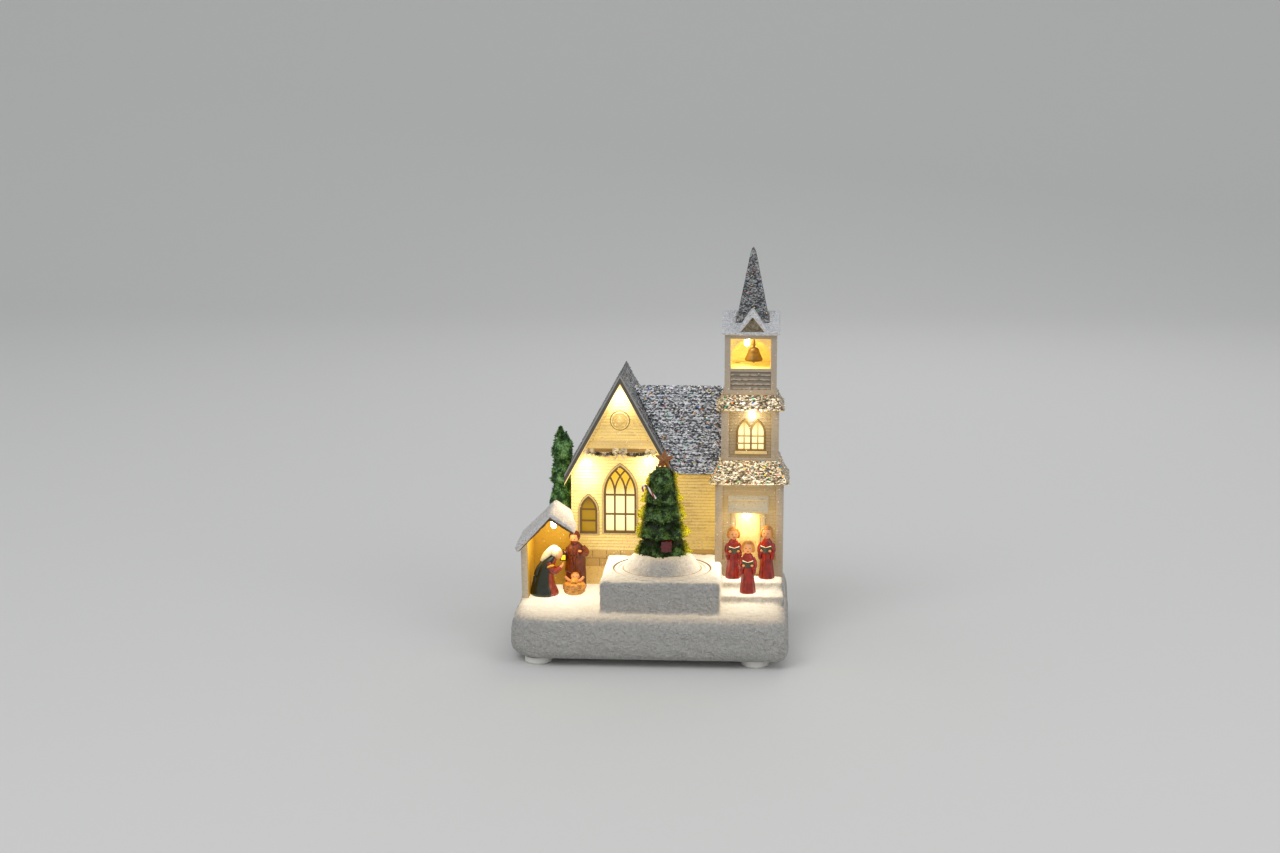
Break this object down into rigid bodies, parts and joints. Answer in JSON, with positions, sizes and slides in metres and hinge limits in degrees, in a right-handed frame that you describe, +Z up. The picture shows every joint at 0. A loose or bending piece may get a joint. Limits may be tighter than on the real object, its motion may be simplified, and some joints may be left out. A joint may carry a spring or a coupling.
{
  "type": "christmas village church",
  "caption": "Lit village church with a tall tower on a snowy base: turning tree on a round plate, stable scene, choir on the steps, cell bay and slide switch underneath.",
  "frame": {"origin": "on the table under the middle of the part's box", "axes": "+X right and +Y to the back as seen from the front, +Z up along the tower"},
  "size_m": [0.176, 0.15, 0.2557],
  "materials": {
    "snow": "cast resin painted as glittering snow",
    "siding": "cast resin, cream boards with a pale wash",
    "shingle": "cast resin, silver shingles with coloured glitter",
    "trim": "cast resin, taupe with a silver wash",
    "gilt": "gold paint",
    "foliage": "dark green paint with frosted tips",
    "copper_paint": "copper paint",
    "candy_paint": "white paint with red bands",
    "gift_paint": "dark red paint",
    "cloak_paint": "brown paint, rubbed",
    "veil_paint": "dark green paint, rubbed, with a cream veil",
    "straw_paint": "straw colour, rubbed brown",
    "robe_paint": "dark red paint, rubbed",
    "bronze_paint": "bronze paint",
    "moulding": "moulded, white",
    "dark_moulding": "moulded, black",
    "board": "printed board, green",
    "steel": "plain",
    "cell_can": "plain dark skin, no print",
    "pane": "translucent warm pane",
    "lamp": "clear dome, warm white"
  },
  "bodies": {
    "church": {"snow_base": "snow", "belfry_roof": "snow", "stable_roof": "snow", "base_cover": "moulding", "foot_front_left": "moulding", "foot_front_right": "moulding", "foot_rear_left": "moulding", "foot_rear_right": "moulding", "gearbox_case": "moulding", "cell_1": "cell_can", "cell_2": "cell_can", "cell_3": "cell_can", "contact_strip": "steel", "motor_can": "steel", "switch_housing": "dark_moulding", "circuit_board": "board", "rear_evergreen": "foliage", "wing_walls": "siding", "nave_walls": "siding", "church_door": "siding", "stable_walls": "siding", "wing_roof": "shingle", "nave_roof": "shingle", "lower_skirt_roof": "shingle", "upper_skirt_roof": "shingle", "spire": "shingle", "gable_garland": "gilt", "front_window_tracery": "trim", "side_window_tracery": "trim", "tower_lower_tier": "trim", "tower_middle_tier": "trim", "tower_belfry": "trim", "door_awning": "trim", "tower_window_frame": "trim", "front_window_pane": "pane", "side_window_pane": "pane", "tower_window_pane": "pane", "bell": "bronze_paint", "figure_kneeling": "veil_paint", "figure_standing": "cloak_paint", "manger_with_child": "straw_paint", "choir_left": "robe_paint", "choir_middle": "robe_paint", "choir_right": "robe_paint", "hall_lamp": "lamp", "led_stable": "lamp", "led_door": "lamp", "led_tower": "lamp", "led_belfry": "lamp", "led_gable": "lamp", "led_eave_left": "lamp", "led_eave_right": "lamp"},
    "turntable": {"drive_spindle": "steel", "turntable_mound": "snow", "tree_foliage": "foliage", "tree_star": "copper_paint", "candy_cane": "candy_paint", "gift_box": "gift_paint"},
    "switch": {"switch_slider": "dark_moulding"},
    "door": {"battery_door": "moulding"}
  },
  "joints": [
    {"name": "tree_turn", "type": "hinge", "parent": "church", "child": "turntable", "pos_m": [0.0066, -0.022, 0.05], "axis": [0, 0, 1], "continuous": true},
    {"name": "switch_slide", "type": "slide", "parent": "church", "child": "switch", "axis": [1, 0, 0], "range_m": [0, 0.004]},
    {"name": "door_off", "type": "slide", "parent": "church", "child": "door", "axis": [0, 0, -1], "range_m": [0, 0.02]}
  ]
}
